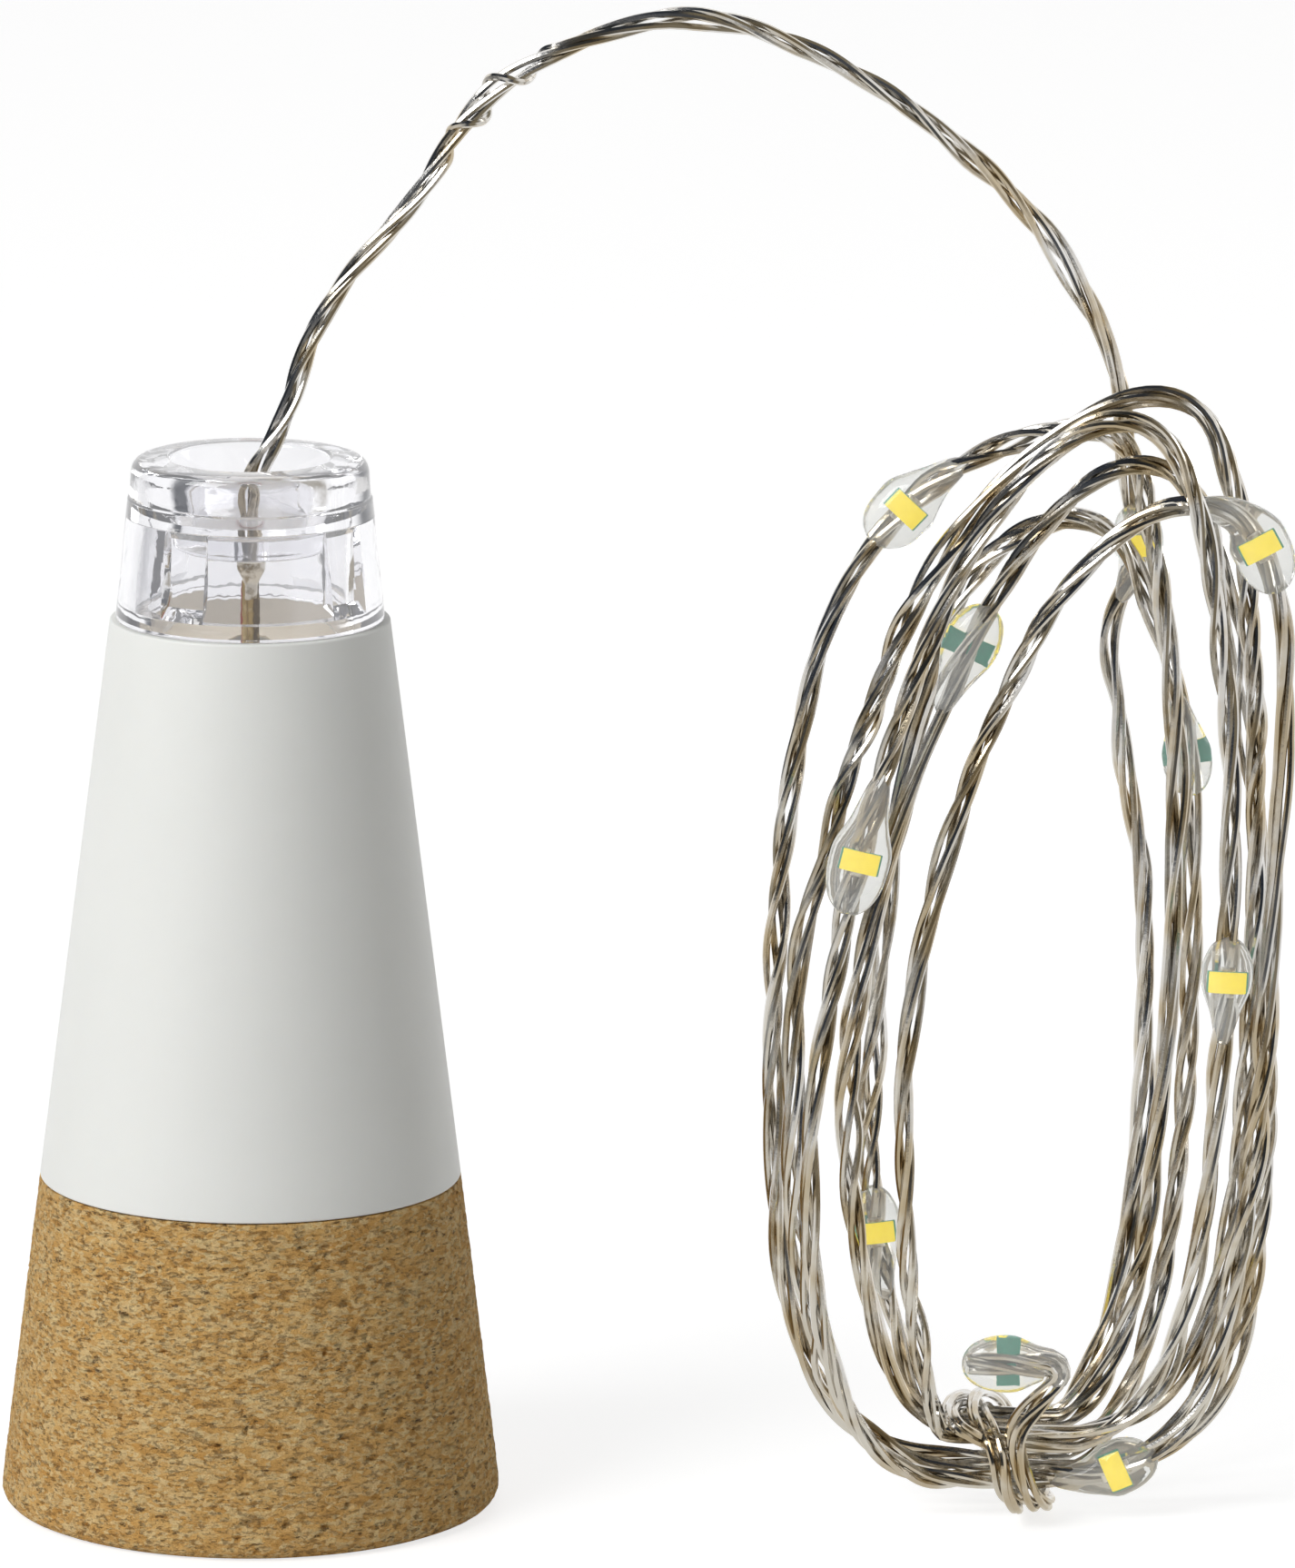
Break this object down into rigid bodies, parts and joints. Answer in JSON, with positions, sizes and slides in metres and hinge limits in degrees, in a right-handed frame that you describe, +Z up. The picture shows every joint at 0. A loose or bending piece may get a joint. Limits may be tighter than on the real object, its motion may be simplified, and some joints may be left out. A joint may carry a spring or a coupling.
{
  "type": "cork bottle light",
  "caption": "Tapered bottle-stopper light: a cork cap over a plug, a white housing, a clear tip, and a twisted wire string with resin-dropped chips, arching to a tied hank.",
  "frame": {"origin": "centre of the flat cork end, on the surface that the stopper stands on", "axes": "+Z up the stopper's axis, +X towards the hank of the string, -Y towards the picture's viewer"},
  "size_m": [0.0846, 0.033, 0.0994],
  "materials": {
    "cork": "agglomerated cork, matt",
    "liner_plastic": "moulded, satin",
    "black_plastic": "moulded, satin",
    "bronze": "sprung bronze strip",
    "screw_steel": "zinc plated",
    "board_green": "solder resist over glass laminate",
    "gold": "gold plated",
    "plug_steel": "nickel plated sheet",
    "chip_black": "moulded packages",
    "cell_wrap": "shrink sleeve over a can",
    "nickel": "nickel strip",
    "lead_red": "insulated wire",
    "foam": "closed cell foam",
    "white_shell": "moulded, fine satin",
    "string_wire": "silver-coated copper wires",
    "solder": "tinned joint",
    "potting_white": "hot glue",
    "clear_plastic": "clear moulding",
    "clear_resin": "clear resin",
    "chip_yellow": "phosphor",
    "substrate_green": "substrate"
  },
  "bodies": {
    "cork_cap": {"cork_sleeve": "cork", "cap_liner": "liner_plastic"},
    "rotor": {"switch_rotor": "liner_plastic", "rotor_wiper": "bronze"},
    "housing": {"body_shell": "white_shell", "carrier": "liner_plastic", "rotor_retainer": "black_plastic", "retainer_screws": "screw_steel", "switch_board": "board_green", "switch_pads": "gold", "usb_plug_shell": "plug_steel", "usb_plug_tongue": "black_plastic", "usb_contacts": "gold", "main_board": "board_green", "board_components": "chip_black", "board_screws": "screw_steel", "cell_cradle": "black_plastic", "battery_cell": "cell_wrap", "cell_tabs": "nickel", "battery_lead": "lead_red", "cell_pad": "foam", "string_leads": "string_wire", "solder_joint": "solder", "lead_potting": "potting_white", "tip_skirt": "clear_plastic", "tip_cup": "clear_plastic", "string_arch": "string_wire", "string_hank": "string_wire", "string_tie": "string_wire", "led_droplets": "clear_resin", "led_chips": "chip_yellow", "led_substrates": "substrate_green"}
  },
  "joints": [
    {"name": "cap_pull_off", "type": "slide", "parent": "cork_cap", "child": "rotor", "axis": [0, 0, 1], "range_m": [0, 0.02]},
    {"name": "switch_twist", "type": "hinge", "parent": "rotor", "child": "housing", "pos_m": [0, 0, 0.0196], "axis": [0, 0, 1], "range_deg": [0, 40]}
  ]
}
